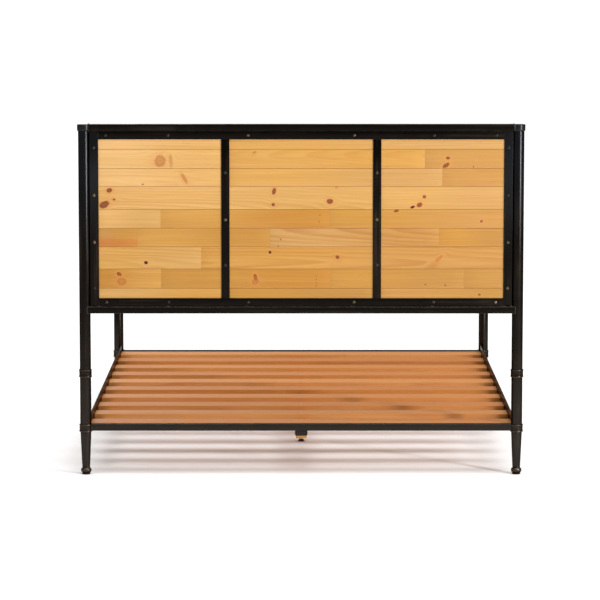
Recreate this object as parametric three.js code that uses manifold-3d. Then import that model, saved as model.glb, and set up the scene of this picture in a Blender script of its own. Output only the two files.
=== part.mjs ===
// A queen-size bed frame: iron posts, rails and straps around a headboard of random-width pine boards,
// with a slatted deck on angle side rails and a wooden centre beam on two levelling legs.
// Millimetres, +Z up. The origin is on the floor at the middle of the bed, +Y runs from head to foot,
// and +X is the right-hand side seen from behind the headboard.
import * as THREE from "three";
import { mergeVertices } from "three/addons/utils/BufferGeometryUtils.js";
import Module from "manifold-3d";

const wasm = await Module();
wasm.setup();

// ---- driving dimensions -------------------------------------------------------------------------

const gap = 0.3; // between pieces that touch
const roundSides = 24; // facets on posts, collars, caps and legs
const smallSides = 16; // facets on bolt holes and levellers

const bed = {
  postSpanX: 1580, // between post centres, across the bed
  postSpanY: 2085, // between post centres, head to foot
  headHeight: 1286,
  footHeight: 388,
};

const post = { radius: 20.5, wall: 2 };

const spigot = { slip: 0.5, capLength: 22, legLength: 24 }; // the ends that enter the post tubes

const cap = { overhang: 3.5, height: 24.6, bevel: 1.5 };

const collar = { overhang: 3.5, height: 28, bevel: 2.5, midBottom: 360 };

const leg = {
  height: 158, // floor to the bottom end of the post tube
  ankleRadius: 13.9,
  ringRadius: 19.5,
  ringHeight: 17,
  baseRadius: 15.5,
  baseHeight: 6.5,
};

// Rectangular and square tubes. The panel rails are deeper than they are high.
const tube = { height: 25, panelDepth: 38, lowerDepth: 25, wall: 2 };
const lowerRailRise = 4; // the lower rails' undersides, above the post tubes' lower ends

// The headboard's panel: the opening that shows wood, seen from either side.
const panel = { opening: 580, flange: 30, sideFlange: 32, steel: 3, boardThickness: 20, backInset: 10 };
const strap = { width: 30, offset: 276 };

// Random-width boards from top to bottom, ripped to fill the panel: these are their relative widths.
const boardWidths = [63, 69, 65, 84, 69, 68, 81, 71, 62];
const boardJoint = { tongue: 5, thickness: 6, clearance: 1 };

const sideRail = { flangeHeight: 50, ledge: 40, steel: 4, inset: 10, endGap: 4 };
const lug = { thickness: 5, length: 75, height: 23, rise: 5 };
const bolt = { holeRadius: 4.5, first: 42, spacing: 20 };

const slat = { width: 100, thickness: 18, count: 10, endGap: 1, firstEdge: 32, bevel: 2 };

const beam = { width: 40, depth: 43.6, endGap: 1 };
const saddle = { width: 46, drop: 18.5, steel: 3, reach: 55, corner: 4 };

const centreLeg = { width: 40, bottom: 14, bevel: 2, fromHead: 760, boreDepth: 56 };
const leveller = {
  padRadius: 12,
  padHeight: 8,
  padEdge: 1.5,
  socketRadius: 4.7,
  socketFloor: 4,
  studRadius: 4,
  studClearance: 0.9, // around the stud in the leg's bore
  studDepth: 48, // of the stud inside the leg
  hexAcross: 13,
  hexBottom: 8.6,
  hexTop: 12.6,
};

// ---- sizes that follow --------------------------------------------------------------------------

const postX = bed.postSpanX / 2;
const postY = bed.postSpanY / 2;
const capRadius = post.radius + cap.overhang;
const collarRadius = post.radius + collar.overhang;
const spigotRadius = post.radius - post.wall - spigot.slip;

const railBottom = (top) => top - tube.height;
const headTopRail = railBottom(bed.headHeight);
const channelTop = headTopRail - gap;
const openingTop = channelTop - panel.flange;
const openingBottom = openingTop - panel.opening;
const channelBottom = openingBottom - panel.flange;
const headBottomRail = channelBottom - gap - tube.height;
const footTopRail = railBottom(bed.footHeight);

const channelSide = postX - post.radius - gap; // outer face of the upright channels
const openingSide = channelSide - panel.sideFlange;

// Depths through the panel, measured from the plane of the head posts: back flange, boards, front flange.
const backFace = -tube.panelDepth / 2 + panel.backInset;
const boardBack = backFace + panel.steel + gap;
const boardFront = boardBack + panel.boardThickness;
const frontInner = boardFront + gap;
const frontFace = frontInner + panel.steel;

// Heights and widths at deck level.
const lowerRailBottom = leg.height + lowerRailRise;
const lugBottom = leg.height + lug.rise;
const boltHeight = lugBottom + lug.height / 2;
const ledgeTop = lugBottom + sideRail.steel;
const slatBottom = ledgeTop + gap;
const railOuterFace = postX - sideRail.inset;
const railInnerFace = railOuterFace - sideRail.steel;
const saddleBottom = lowerRailBottom - saddle.drop;
const beamBottom = ledgeTop - beam.depth;

// ---- shape helpers ------------------------------------------------------------------------------

// A geometry as a solid that can be joined and cut.
function solid(geometry) {
  const bare = geometry.index ? geometry.toNonIndexed() : geometry.clone();
  bare.deleteAttribute("normal");
  bare.deleteAttribute("uv");
  const merged = mergeVertices(bare, 1e-4);
  return new wasm.Manifold(
    new wasm.Mesh({
      numProp: 3,
      vertProperties: new Float32Array(merged.attributes.position.array),
      triVerts: new Uint32Array(merged.index.array),
    }),
  );
}

// A solid back as a geometry.
function geometryOf(body) {
  const mesh = body.getMesh();
  const made = new THREE.BufferGeometry();
  made.setAttribute("position", new THREE.BufferAttribute(new Float32Array(mesh.vertProperties), 3));
  made.setIndex(new THREE.BufferAttribute(new Uint32Array(mesh.triVerts), 1));
  made.computeVertexNormals();
  return made;
}

// A box between two values on each axis, given in either order.
function block([x0, x1], [y0, y1], [z0, z1]) {
  const box = new THREE.BoxGeometry(Math.abs(x1 - x0), Math.abs(y1 - y0), Math.abs(z1 - z0));
  return box.translate((x0 + x1) / 2, (y0 + y1) / 2, (z0 + z1) / 2);
}

// A profile of [radius, height] points turned about a vertical axis.
function turned(profile, x = 0, y = 0, sides = roundSides) {
  const points = profile.map(([r, z]) => new THREE.Vector2(r, z));
  return new THREE.LatheGeometry(points, sides).rotateX(Math.PI / 2).translate(x, y, 0);
}

// A ring: the profile is closed on itself.
function ring(profile, x, y) {
  return turned([...profile, profile[0]], x, y);
}

// An upright cylinder, standing at a place.
function rod(radius, bottom, top, x, y, sides = roundSides) {
  return turned([[0, bottom], [radius, bottom], [radius, top], [0, top]], x, y, sides);
}

function outline(points) {
  return new THREE.Shape(points.map(([a, b]) => new THREE.Vector2(a, b)));
}

// An outline in the XY plane, run upwards.
function alongZ(points, from, to) {
  const extrusion = new THREE.ExtrudeGeometry(outline(points), { depth: to - from, bevelEnabled: false });
  return extrusion.translate(0, 0, from);
}

// An outline of [y, z] points, run along X.
function alongX(points, from, to) {
  const flat = new THREE.ExtrudeGeometry(outline(points), { depth: to - from, bevelEnabled: false });
  return flat.rotateX(Math.PI / 2).rotateZ(Math.PI / 2).translate(from, 0, 0);
}

// An outline of [x, z] points, run along Y.
function alongY(points, from, to) {
  const flat = new THREE.ExtrudeGeometry(outline(points), { depth: to - from, bevelEnabled: false });
  return flat.rotateX(Math.PI / 2).translate(0, to, 0);
}

// ---- assembly -----------------------------------------------------------------------------------

const iron = new THREE.MeshStandardMaterial({ color: 0x211d1a, roughness: 0.45, metalness: 0.7 });
const pine = new THREE.MeshStandardMaterial({ color: 0xdca45e, roughness: 0.6, metalness: 0 });
const deckWood = new THREE.MeshStandardMaterial({ color: 0xb8702f, roughness: 0.6, metalness: 0 });
const nylon = new THREE.MeshStandardMaterial({ color: 0x161616, roughness: 0.6, metalness: 0 });
const zinc = new THREE.MeshStandardMaterial({ color: 0x8d8c88, roughness: 0.35, metalness: 0.9 });

const frame = new THREE.Group();

function add(name, geometry, material) {
  const mesh = new THREE.Mesh(geometry, material);
  mesh.name = name;
  frame.add(mesh);
}

// ---- posts, caps, collars and legs --------------------------------------------------------------

function postTube(x, y, top) {
  const inner = post.radius - post.wall;
  return ring([[inner, leg.height], [post.radius, leg.height], [post.radius, top], [inner, top]], x, y);
}

// A cast cap: a short drum that overhangs the tube, with a spigot down inside it.
function postCap(x, y, top) {
  const bottom = top - cap.height;
  const profile = [
    [0, bottom - spigot.capLength],
    [spigotRadius, bottom - spigot.capLength],
    [spigotRadius, bottom],
    [capRadius - cap.bevel, bottom],
    [capRadius, bottom + cap.bevel],
    [capRadius, top - cap.bevel],
    [capRadius - cap.bevel, top],
    [0, top],
  ];
  return turned(profile, x, y);
}

// A band around a post, with bevelled edges.
function band(x, y, bottom) {
  const bore = post.radius + gap;
  const top = bottom + collar.height;
  const profile = [
    [bore, bottom],
    [collarRadius - collar.bevel / 2, bottom],
    [collarRadius, bottom + collar.bevel],
    [collarRadius, top - collar.bevel],
    [collarRadius - collar.bevel / 2, top],
    [bore, top],
  ];
  return ring(profile, x, y);
}

// The collar at deck height, with the lug that a side rail bolts to. The lug points into the bed.
function railCollar(x, y) {
  const side = Math.sign(x);
  const inward = -Math.sign(y);
  const lugInner = side * (railOuterFace + gap);
  const lugOuter = lugInner + side * lug.thickness;
  const tip = y + inward * lug.length;
  const plate = solid(block([lugInner, lugOuter], [y, tip], [lugBottom, lugBottom + lug.height]));
  const bore = solid(rod(post.radius + gap, 0, leg.height + 2 * collar.height, x, y));
  const casting = solid(band(x, y, leg.height)).add(plate).subtract(bore);
  return geometryOf(casting.subtract(boltHoles(x, y)));
}

// The two holes through a lug and through the side rail beside it.
function boltHoles(x, y) {
  const inward = -Math.sign(y);
  const holes = [0, 1].map((n) => {
    const along = y + inward * (bolt.first + n * bolt.spacing);
    const hole = new THREE.CylinderGeometry(bolt.holeRadius, bolt.holeRadius, 4 * lug.thickness, smallSides);
    return solid(hole.rotateZ(Math.PI / 2).translate(Math.sign(x) * railOuterFace, along, boltHeight));
  });
  return holes[0].add(holes[1]);
}

// A tapering leg with a round bead and a small foot, cast in one with the spigot that enters the post.
function taperedLeg(x, y) {
  const shoulder = leg.height - gap;
  const beadBottom = leg.baseHeight;
  const beadMiddle = beadBottom + leg.ringHeight / 2;
  const beadDepth = leg.ringRadius - leg.baseRadius;
  const bead = [];
  const steps = 6;
  for (let n = 0; n <= steps; n++) {
    const angle = -Math.PI / 2 + (Math.PI * n) / steps;
    const height = beadMiddle + (leg.ringHeight / 2) * Math.sin(angle);
    bead.push([leg.baseRadius + beadDepth * Math.cos(angle), height]);
  }
  const profile = [
    [0, 0],
    [leg.baseRadius, 0],
    ...bead,
    [leg.ankleRadius, beadBottom + leg.ringHeight],
    [post.radius - spigot.slip, shoulder],
    [spigotRadius, shoulder],
    [spigotRadius, shoulder + spigot.legLength],
    [0, shoulder + spigot.legLength],
  ];
  return turned(profile, x, y);
}

for (const [end, y, height] of [["head", -postY, bed.headHeight], ["foot", postY, bed.footHeight]]) {
  for (const [side, x] of [["left", -postX], ["right", postX]]) {
    add(`${end}_post_${side}`, postTube(x, y, height - cap.height - gap), iron);
    add(`${end}_post_cap_${side}`, postCap(x, y, height), iron);
    add(`${end}_rail_collar_${side}`, railCollar(x, y), iron);
    add(`${end}_leg_${side}`, taperedLeg(x, y), iron);
    if (end === "head") add(`head_mid_collar_${side}`, band(x, y, collar.midBottom), iron);
  }
}

// ---- rails between the posts --------------------------------------------------------------------

// A hollow tube across the bed, its ends coped around whatever stands at the posts there.
function crossRail(y, bottom, depth, postEndRadius) {
  const top = bottom + tube.height;
  const inset = tube.wall;
  const outer = block([-postX, postX], [y - depth / 2, y + depth / 2], [bottom, top]);
  const inner = block(
    [-postX - inset, postX + inset],
    [y - depth / 2 + inset, y + depth / 2 - inset],
    [bottom + inset, top - inset],
  );
  let rail = solid(outer).subtract(solid(inner));
  for (const x of [-postX, postX]) {
    rail = rail.subtract(solid(rod(postEndRadius + gap, bottom - tube.height, top + tube.height, x, y)));
  }
  return rail;
}

// The bracket under a lower rail that carries the centre beam: a plate down, and a shelf into the bed.
function beamSaddle(y) {
  const inward = -Math.sign(y);
  const half = saddle.width / 2;
  const low = saddleBottom;
  const high = lowerRailBottom + tube.wall / 2;
  const outerY = y - (inward * tube.lowerDepth) / 2;
  const plateY = outerY + inward * saddle.steel;
  const cut = saddle.corner;
  const points = [
    [-half, high],
    [-half, low + cut],
    [cut - half, low],
    [half - cut, low],
    [half, low + cut],
    [half, high],
  ];
  const plate = alongY(points, Math.min(outerY, plateY), Math.max(outerY, plateY));
  const tip = y + inward * saddle.reach;
  const shelf = block([cut - half, half - cut], [outerY, tip], [low, low + saddle.steel]);
  return solid(plate).add(solid(shelf));
}

add("headboard_top_rail", geometryOf(crossRail(-postY, headTopRail, tube.panelDepth, capRadius)), iron);
const bottomRail = crossRail(-postY, headBottomRail, tube.panelDepth, post.radius);
add("headboard_bottom_rail", geometryOf(bottomRail), iron);
add("footboard_top_rail", geometryOf(crossRail(postY, footTopRail, tube.panelDepth, capRadius)), iron);
for (const [end, y] of [["headboard", -postY], ["footboard", postY]]) {
  const rail = crossRail(y, lowerRailBottom, tube.lowerDepth, collarRadius);
  add(`${end}_lower_rail`, geometryOf(rail.add(beamSaddle(y))), iron);
}

// ---- the headboard's panel ----------------------------------------------------------------------

// A channel's section as [distance in from its web's outer face, depth through the panel].
function channelSection(flange) {
  return [
    [0, backFace],
    [flange, backFace],
    [flange, backFace + panel.steel],
    [panel.steel, backFace + panel.steel],
    [panel.steel, frontInner],
    [flange, frontInner],
    [flange, frontFace],
    [0, frontFace],
  ];
}

function uprightChannel(side) {
  const section = channelSection(panel.sideFlange);
  const points = section.map(([inset, depth]) => [side * (channelSide - inset), depth - postY]);
  if (side > 0) points.reverse();
  return alongZ(points, channelBottom, channelTop);
}

function crossChannel(webZ, direction) {
  const reach = openingSide - gap;
  const section = channelSection(panel.flange);
  const points = section.map(([inset, depth]) => [depth - postY, webZ - direction * inset]);
  if (direction > 0) points.reverse();
  return alongX(points, -reach, reach);
}

add("panel_channel_left", uprightChannel(-1), iron);
add("panel_channel_right", uprightChannel(1), iron);
add("panel_channel_top", crossChannel(channelTop, 1), iron);
add("panel_channel_bottom", crossChannel(channelBottom, -1), iron);

for (const [side, sign] of [["left", -1], ["right", 1]]) {
  const across = [sign * strap.offset - strap.width / 2, sign * strap.offset + strap.width / 2];
  const upright = [openingBottom + gap, openingTop - gap];
  add(`back_strap_${side}`, block(across, [backFace - postY, backFace + panel.steel - postY], upright), iron);
  add(`front_strap_${side}`, block(across, [frontInner - postY, frontFace - postY], upright), iron);
}

// One board, with a tongue on its upper edge and a groove in its lower one.
function board(top, bottom, tongued, grooved) {
  const reach = channelSide - panel.steel - boardJoint.clearance;
  const back = boardBack - postY;
  const front = boardFront - postY;
  const middle = (back + front) / 2;
  const half = boardJoint.thickness / 2;
  const tip = top + boardJoint.tongue;
  const tongue = [[middle + half, top], [middle + half, tip], [middle - half, tip], [middle - half, top]];
  const room = half + gap;
  const roof = bottom + boardJoint.tongue + 2 * gap;
  const near = middle - room;
  const far = middle + room;
  const groove = [[near, bottom], [near, roof], [far, roof], [far, bottom]];
  const lower = [[back, bottom], ...(grooved ? groove : []), [front, bottom]];
  const upper = [[front, top], ...(tongued ? tongue : []), [back, top]];
  return alongX([...lower, ...upper], -reach, reach);
}

const panelTop = channelTop - panel.steel - boardJoint.clearance;
const panelBottom = channelBottom + panel.steel + boardJoint.clearance;
const widthUnit = (panelTop - panelBottom) / boardWidths.reduce((sum, width) => sum + width, 0);
let boardTop = panelTop;
boardWidths.forEach((width, n) => {
  const boardBottom = boardTop - width * widthUnit;
  const last = n === boardWidths.length - 1;
  add(`headboard_board_${n + 1}`, board(boardTop, boardBottom + (last ? 0 : gap), n > 0, !last), pine);
  boardTop = boardBottom;
});

// ---- side rails and slats -----------------------------------------------------------------------

function sideRailAngle(side) {
  const outer = side * railOuterFace;
  const inner = side * railInnerFace;
  const ledgeEdge = side * (railOuterFace - sideRail.ledge);
  const low = lugBottom;
  const high = low + sideRail.flangeHeight;
  const ledge = [[inner, ledgeTop], [ledgeEdge, ledgeTop], [ledgeEdge, low]];
  const points = [[outer, low], [outer, high], [inner, high], ...ledge];
  if (side < 0) points.reverse();
  const reach = postY - collarRadius - sideRail.endGap;
  const x = side * postX;
  const angle = solid(alongY(points, -reach, reach));
  return geometryOf(angle.subtract(boltHoles(x, -postY)).subtract(boltHoles(x, postY)));
}

add("side_rail_left", sideRailAngle(-1), iron);
add("side_rail_right", sideRailAngle(1), iron);

function deckSlat(middle) {
  const reach = railInnerFace - slat.endGap;
  const half = slat.width / 2;
  const top = slatBottom + slat.thickness;
  const b = slat.bevel;
  const lower = [[middle - half, slatBottom], [middle + half, slatBottom]];
  const far = middle + half;
  const near = middle - half;
  const upper = [[far, top - b], [far - b, top], [near + b, top], [near, top - b]];
  return alongX([...lower, ...upper], -reach, reach);
}

const firstSlat = postY - slat.firstEdge - slat.width / 2;
for (let n = 0; n < slat.count; n++) {
  const middle = -firstSlat + (2 * firstSlat * n) / (slat.count - 1);
  add(`slat_${String(n + 1).padStart(2, "0")}`, deckSlat(middle), deckWood);
}

// ---- centre beam, legs and levellers ------------------------------------------------------------

// The beam is notched at both ends to sit on the saddles' shelves.
function centreBeam() {
  const reach = postY - tube.lowerDepth / 2 - beam.endGap;
  const notch = postY - saddle.reach - beam.endGap;
  const shelf = saddleBottom + saddle.steel + gap;
  const headNotch = [[-reach, shelf], [-notch, shelf], [-notch, beamBottom]];
  const footNotch = [[notch, beamBottom], [notch, shelf], [reach, shelf]];
  const points = [...headNotch, ...footNotch, [reach, ledgeTop], [-reach, ledgeTop]];
  return alongX(points, -beam.width / 2, beam.width / 2);
}

// A square leg with eased corners, bored from below for the leveller's stud.
function squareLeg(y) {
  const h = centreLeg.width / 2;
  const e = h - centreLeg.bevel;
  const corners = [[-e, -h], [e, -h], [h, -e], [h, e], [e, h], [-e, h], [-h, e], [-h, -e]];
  const low = centreLeg.bottom;
  const body = alongZ(corners.map(([a, b]) => [a, y + b]), low, beamBottom - gap);
  const boreRadius = leveller.studRadius + leveller.studClearance;
  const bore = rod(boreRadius, low - gap, low + centreLeg.boreDepth, 0, y, smallSides);
  return geometryOf(solid(body).subtract(solid(bore)));
}

function levellerPad(y) {
  const p = leveller;
  const profile = [
    [0, 0],
    [p.padRadius - p.padEdge, 0],
    [p.padRadius, p.padEdge],
    [p.padRadius, p.padHeight - 2 * p.padEdge],
    [p.padRadius - 2 * p.padEdge, p.padHeight],
    [p.socketRadius, p.padHeight],
    [p.socketRadius, p.socketFloor],
    [0, p.socketFloor],
  ];
  return turned(profile, 0, y, smallSides);
}

// A stud with a hexagon for a spanner. Its lower end turns in the pad's socket.
function levellerStud(y) {
  const p = leveller;
  const top = centreLeg.bottom + p.studDepth;
  const shank = solid(rod(p.studRadius, p.socketFloor + gap, top, 0, y, smallSides));
  const hexagon = solid(rod(p.hexAcross / Math.sqrt(3), p.hexBottom, p.hexTop, 0, y, 6));
  return geometryOf(shank.add(hexagon));
}

add("centre_beam", centreBeam(), deckWood);
for (const [end, y] of [["head", centreLeg.fromHead - postY], ["foot", postY - centreLeg.fromHead]]) {
  add(`centre_leg_${end}`, squareLeg(y), deckWood);
  add(`leveller_pad_${end}`, levellerPad(y), nylon);
  add(`leveller_stud_${end}`, levellerStud(y), zinc);
}

export default frame;
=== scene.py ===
import math

import bmesh
import bpy
import numpy as np
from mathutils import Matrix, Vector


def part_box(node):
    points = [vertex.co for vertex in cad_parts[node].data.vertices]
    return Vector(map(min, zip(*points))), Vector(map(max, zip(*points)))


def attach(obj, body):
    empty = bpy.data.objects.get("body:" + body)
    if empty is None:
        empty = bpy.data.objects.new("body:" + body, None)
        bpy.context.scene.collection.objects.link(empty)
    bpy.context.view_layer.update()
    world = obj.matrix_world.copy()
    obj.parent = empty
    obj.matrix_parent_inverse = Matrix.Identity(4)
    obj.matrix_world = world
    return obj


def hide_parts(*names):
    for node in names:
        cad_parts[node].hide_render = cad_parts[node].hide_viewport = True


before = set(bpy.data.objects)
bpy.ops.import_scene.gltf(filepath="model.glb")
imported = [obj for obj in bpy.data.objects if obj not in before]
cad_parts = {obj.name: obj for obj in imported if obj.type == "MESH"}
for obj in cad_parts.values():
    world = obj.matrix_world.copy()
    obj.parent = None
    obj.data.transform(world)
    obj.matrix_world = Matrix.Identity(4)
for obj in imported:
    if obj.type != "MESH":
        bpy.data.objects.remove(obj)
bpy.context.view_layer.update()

mm = 0.001
tiny = 1e-12  # added to lengths, so that none is divided by zero
rng = np.random.default_rng(21)
print("frame loaded:", len(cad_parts), "nodes")

headPostLow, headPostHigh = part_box("head_post_left")
headPlane = (headPostLow[1] + headPostHigh[1]) / 2  # y of the head posts' axes
footPostLow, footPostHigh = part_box("foot_post_left")
footPlane = (footPostLow[1] + footPostHigh[1]) / 2

viewSettings = {
    "distance": 11.25,  # from the head posts
    "height": 1.925,
    "aside": -0.0044,
    "pitch": 83.5,  # degrees from straight down
    "lens": 186.0,
}


def makeCamera(v):
    # stands behind the headboard, level across and pitched a little down
    data = bpy.data.cameras.new("camera")
    data.lens = v["lens"]
    data.clip_end = 400.0
    camera = bpy.data.objects.new("camera", data)
    camera.location = (v["aside"], headPlane - v["distance"], v["height"])
    camera.rotation_euler = (math.radians(v["pitch"]), 0.0, 0.0)
    bpy.context.collection.objects.link(camera)
    bpy.context.scene.camera = camera


makeCamera(viewSettings)

studio = {
    "worldStrength": 0.36,
    "sunStrength": 2.75,
    "sunSoftness": 60.0,  # degrees across
    "sunTurn": (12.0, 8.0, 0.0),
    "floorSize": 300.0,
    "floorTone": (0.92, 0.92, 0.92, 1.0),
    "floorRoughness": 0.9,
    "floorShine": 0.1,
    # name, place, aimed at, width, height, watts
    "softboxes": [
        ("rightStrip", (3.3, -3.9, 1.75), (0.0, -1.0, 1.0), 0.26, 2.0, 130.0),
        ("footFill", (-2.5, 6.5, 3.2), (0.0, 0.0, 0.5), 4.0, 3.0, 60.0),
    ],
}


def makeLamp(name, kind, energy):
    # a light and the object that carries it
    light = bpy.data.lights.new(name, kind)
    light.energy = energy
    lamp = bpy.data.objects.new(name, light)
    bpy.context.collection.objects.link(lamp)
    return lamp


def makeStudio(s):
    # an even white world, a soft overhead sun, the softboxes and a square floor at height 0
    world = bpy.data.worlds.new("world")
    world.use_nodes = True
    background = world.node_tree.nodes["Background"]
    background.inputs["Color"].default_value = (1.0, 1.0, 1.0, 1.0)
    background.inputs["Strength"].default_value = s["worldStrength"]
    bpy.context.scene.world = world
    bpy.context.scene.view_settings.view_transform = "Standard"
    sun = makeLamp("overhead", "SUN", s["sunStrength"])
    sun.data.angle = math.radians(s["sunSoftness"])
    sun.rotation_euler = [math.radians(turn) for turn in s["sunTurn"]]
    for name, place, target, width, height, watts in s["softboxes"]:
        lamp = makeLamp(name, "AREA", watts)
        lamp.data.shape = "RECTANGLE"
        lamp.data.size = width
        lamp.data.size_y = height
        lamp.location = place
        aim = Vector(target) - Vector(place)
        lamp.rotation_euler = aim.to_track_quat("-Z", "Y").to_euler()
    half = s["floorSize"] / 2
    corners = [(-half, -half, 0.0), (half, -half, 0.0), (half, half, 0.0), (-half, half, 0.0)]
    mesh = bpy.data.meshes.new("floor")
    mesh.from_pydata(corners, [], [(0, 1, 2, 3)])
    floor = bpy.data.objects.new("floor", mesh)
    paper = bpy.data.materials.new("floorPaper")
    paper.use_nodes = True
    surface = paper.node_tree.nodes["Principled BSDF"]
    surface.inputs["Base Color"].default_value = s["floorTone"]
    surface.inputs["Roughness"].default_value = s["floorRoughness"]
    surface.inputs["Specular IOR Level"].default_value = s["floorShine"]
    mesh.materials.append(paper)
    bpy.context.collection.objects.link(floor)


makeStudio(studio)
print("camera, light and floor made")


def gridQuads(rows, columns, closedRows, closedColumns):
    # the quad at (i, j) joins grid points (i, j), (i+1, j), (i+1, j+1) and (i, j+1),
    # and wraps round where the grid is closed
    i, j = np.meshgrid(
        np.arange(rows if closedRows else rows - 1),
        np.arange(columns if closedColumns else columns - 1),
        indexing="ij",
    )
    i, j = i.ravel(), j.ravel()
    ni, nj = (i + 1) % rows, (j + 1) % columns
    return np.stack([i * columns + j, ni * columns + j, ni * columns + nj, i * columns + nj], axis=1)


def softened(corners, reach, steps=4, closed=True, share=0.45):
    # each corner c becomes (1-t)^2 a + 2t(1-t) c + t^2 b, where a and b lie reach back along its two
    # edges, though never past that share of the edge; also returns 4t(1-t), which is 1 on the middle
    # of a softened corner and 0 where the straight begins
    c = np.asarray(corners, float)
    reach = np.broadcast_to(np.asarray(reach, float), (len(c),))[:, None]
    before = np.roll(c, 1, axis=0) - c
    after = np.roll(c, -1, axis=0) - c
    lengthBefore = np.linalg.norm(before, axis=1, keepdims=True) + tiny
    lengthAfter = np.linalg.norm(after, axis=1, keepdims=True) + tiny
    a = c + before / lengthBefore * np.minimum(reach, lengthBefore * share)
    b = c + after / lengthAfter * np.minimum(reach, lengthAfter * share)
    t = np.linspace(0.0, 1.0, steps + 1)[None, :, None]
    curve = (1 - t) ** 2 * a[:, None] + 2 * t * (1 - t) * c[:, None] + t**2 * b[:, None]
    crest = np.broadcast_to(4 * t[..., 0] * (1 - t[..., 0]), curve.shape[:2])
    if closed:
        return curve.reshape(-1, 2), crest.ravel()
    inner = curve[1:-1].reshape(-1, 2)
    crests = np.concatenate([[0.0], crest[1:-1].ravel(), [0.0]])
    return np.vstack([c[:1], inner, c[-1:]]), crests


mergeWithin = 0.001 * mm


def finishMesh(name, points, faces, material, attributes=None, sharpAngle=40.0):
    # doubles merge, so that seams and poles close, and the closed shell's faces are turned outwards;
    # edges sharper than sharpAngle degrees stay sharp
    mesh = bpy.data.meshes.new(name)
    mesh.from_pydata(np.asarray(points, float).reshape(-1, 3).tolist(), [], faces)
    for key, values in (attributes or {}).items():
        layer = mesh.attributes.new(key, "FLOAT", "POINT")
        layer.data.foreach_set("value", np.asarray(values, np.float32).ravel())
    work = bmesh.new()
    work.from_mesh(mesh)
    bmesh.ops.remove_doubles(work, verts=work.verts, dist=mergeWithin)
    bmesh.ops.dissolve_degenerate(work, edges=work.edges, dist=mergeWithin / 10)
    bmesh.ops.recalc_face_normals(work, faces=work.faces)
    work.to_mesh(mesh)
    work.free()
    mesh.polygons.foreach_set("use_smooth", np.ones(len(mesh.polygons), bool))
    mesh.set_sharp_from_angle(angle=math.radians(sharpAngle))
    mesh.materials.append(material)
    piece = bpy.data.objects.new(name, mesh)
    bpy.context.collection.objects.link(piece)
    return piece


def placed(piece, body="frame", node=None):
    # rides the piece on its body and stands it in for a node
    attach(piece, body)
    if node:
        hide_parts(node)
    return piece


def turnedGrid(profile, centre, sides=96):
    # (r, z) turned about a vertical axis: x = cx + r cos a, y = cy + r sin a, z = z
    angle = np.arange(sides) / sides * 2 * np.pi
    r = profile[:, 0][:, None] * np.ones(sides)
    x = centre[0] + r * np.cos(angle)
    y = centre[1] + r * np.sin(angle)
    z = profile[:, 1][:, None] * np.ones(sides)
    return np.stack([x, y, z], axis=-1)


def turnedPiece(name, profile, crest, centre, material, closed=False, sides=96):
    # a turned grid as a piece, worn where its profile's crest is
    grid = turnedGrid(profile, centre, sides)
    faces = gridQuads(len(profile), sides, closed, True).tolist()
    wear = np.repeat(crest[:, None], sides, axis=1)
    return finishMesh(name, grid, faces, material, {"wear": wear})


def carriedPiece(name, section, crest, stations, axis, material, ease):
    # a closed section (a, b) carried along an axis; within ease of each end it draws in by
    # ease (1 - sqrt(1 - (1 - d/ease)^2)) about its middle, and the ends are closed with one face each
    stations = np.asarray(stations, float)
    turn = ease * (1 - np.cos(np.linspace(0.0, np.pi / 2, 4)))
    stations = np.unique(np.concatenate([stations, stations[0] + turn, stations[-1] - turn]))
    fromEnd = np.minimum(stations - stations[0], stations[-1] - stations)
    near = np.clip(1 - fromEnd / ease, 0.0, 1.0)
    draw = ease * (1 - np.sqrt(1 - near**2))
    middle = (section.min(axis=0) + section.max(axis=0)) / 2
    half = (section.max(axis=0) - section.min(axis=0)) / 2
    scale = 1 - draw[:, None] / half[None, :]
    ab = middle + (section[None] - middle) * scale[:, None, :]
    along = np.repeat(stations[:, None], len(section), axis=1)
    order = {
        "x": (along, ab[..., 0], ab[..., 1]),
        "y": (ab[..., 0], along, ab[..., 1]),
        "z": (ab[..., 0], ab[..., 1], along),
    }
    grid = np.stack(order[axis], axis=-1)
    rows, columns = len(stations), len(section)
    faces = gridQuads(rows, columns, False, True).tolist()
    faces.append(list(range(columns)))
    faces.append([(rows - 1) * columns + k for k in range(columns)])
    return finishMesh(name, grid, faces, material, {"wear": np.repeat(crest[None], rows, axis=0)})


def rectangle(a0, a1, b0, b1):
    # its four corners (a, b), in order
    return [(a0, b0), (a1, b0), (a1, b1), (a0, b1)]


beadLook = {
    "ripple": 0.16,
    "pitch": 3.2,
    "sides": 10,
    "tip": 1.5,  # length of an open end's round, in radii
    "blunt": 0.02,
    "wear": 0.35,
    "sharpAngle": 60.0,
}


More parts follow.
